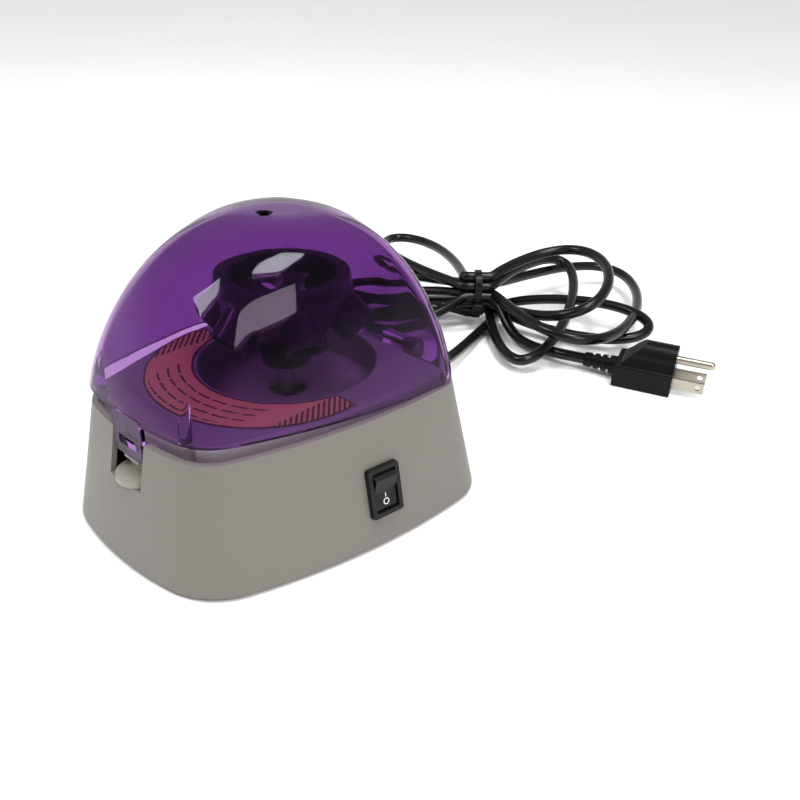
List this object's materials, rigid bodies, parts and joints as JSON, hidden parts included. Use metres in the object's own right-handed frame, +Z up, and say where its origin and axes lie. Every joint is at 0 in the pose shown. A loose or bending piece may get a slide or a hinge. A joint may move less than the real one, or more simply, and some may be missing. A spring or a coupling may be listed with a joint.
{
  "type": "microcentrifuge",
  "caption": "Bench-top microcentrifuge: tapered housing, tinted hinged dome lid with front latch, angled-tube rotor, rocker switch and a mains cord with plug.",
  "frame": {"origin": "middle of the housing's footprint, on the bench", "axes": "+Z up, -Y towards the front latch, +X towards the rocker switch, hinge at +Y"},
  "size_m": [0.2778, 0.432, 0.1298],
  "materials": {
    "housing_plastic": "fine spark-eroded texture",
    "deck_plastic": "fine spark-eroded texture",
    "plate_plastic": "plain moulded",
    "tab_plastic": "satin",
    "lid_plastic": "clear tinted, polished",
    "rotor_plastic": "polished",
    "switch_plastic": "satin moulded",
    "foot_rubber": "matt",
    "bumper_rubber": "matt",
    "cord_rubber": "satin jacket",
    "plug_plastic": "satin moulded",
    "tie_plastic": "satin",
    "nickel": "nickel plate",
    "steel": "plain",
    "zinc": "zinc plate",
    "brass": "plain",
    "label_film": "printed film",
    "board_laminate": "solder mask",
    "component_black": "plain",
    "capacitor_sleeve": "shrink sleeve",
    "terminal_green": "plain"
  },
  "bodies": {
    "base": {"base_housing": "housing_plastic", "top_deck": "deck_plastic", "well_cup": "deck_plastic", "bottom_plate": "plate_plastic", "foot_front_left": "foot_rubber", "foot_front_right": "foot_rubber", "foot_rear_left": "foot_rubber", "foot_rear_right": "foot_rubber", "housing_screws": "zinc", "deck_label": "label_film", "motor_bracket": "zinc", "motor_isolators": "foot_rubber", "motor_can": "steel", "motor_end_cap": "component_black", "motor_bearing": "brass", "motor_screws": "zinc", "hinge_pins": "steel", "latch_bracket": "plate_plastic", "latch_pin": "steel", "latch_spring": "steel", "switch_bezel": "switch_plastic", "rocker_pin": "steel", "switch_terminals": "brass", "board_standoffs": "plate_plastic", "power_board": "board_laminate", "board_screws": "zinc", "smoothing_capacitor": "capacitor_sleeve", "rectifier": "component_black", "terminal_block": "terminal_green", "interlock_switch": "component_black", "strain_relief": "cord_rubber", "cord_lead": "cord_rubber", "cord_hank": "cord_rubber", "cord_tail": "cord_rubber", "cable_tie": "tie_plastic", "plug_body": "plug_plastic", "plug_boot": "plug_plastic", "plug_blades": "nickel", "ground_pin": "nickel"},
    "lid": {"lid_dome": "lid_plastic", "lid_bumpers": "bumper_rubber"},
    "rotor": {"rotor_shaft": "steel", "rotor": "rotor_plastic", "rotor_knob": "rotor_plastic"},
    "rocker": {"switch_rocker": "switch_plastic"},
    "latch": {"latch_lever": "tab_plastic"}
  },
  "joints": [
    {"name": "lid_hinge", "type": "hinge", "parent": "base", "child": "lid", "pos_m": [0, 0.072, 0.058], "axis": [-1, 0, 0], "range_deg": [-3, 95]},
    {"name": "rotor_spin", "type": "hinge", "parent": "base", "child": "rotor", "pos_m": [0, 0.017, 0.06], "axis": [0, 0, 1], "continuous": true},
    {"name": "rocker_tilt", "type": "hinge", "parent": "base", "child": "rocker", "pos_m": [0.06618, 0.0096, 0.02536], "axis": [-0.1536, -0.9881, 0], "range_deg": [0, 22]},
    {"name": "latch_press", "type": "hinge", "parent": "base", "child": "latch", "pos_m": [0, -0.0614, 0.018], "axis": [-1, 0, 0], "range_deg": [0, 8], "stiffness_Nm_per_rad": 0.3}
  ]
}
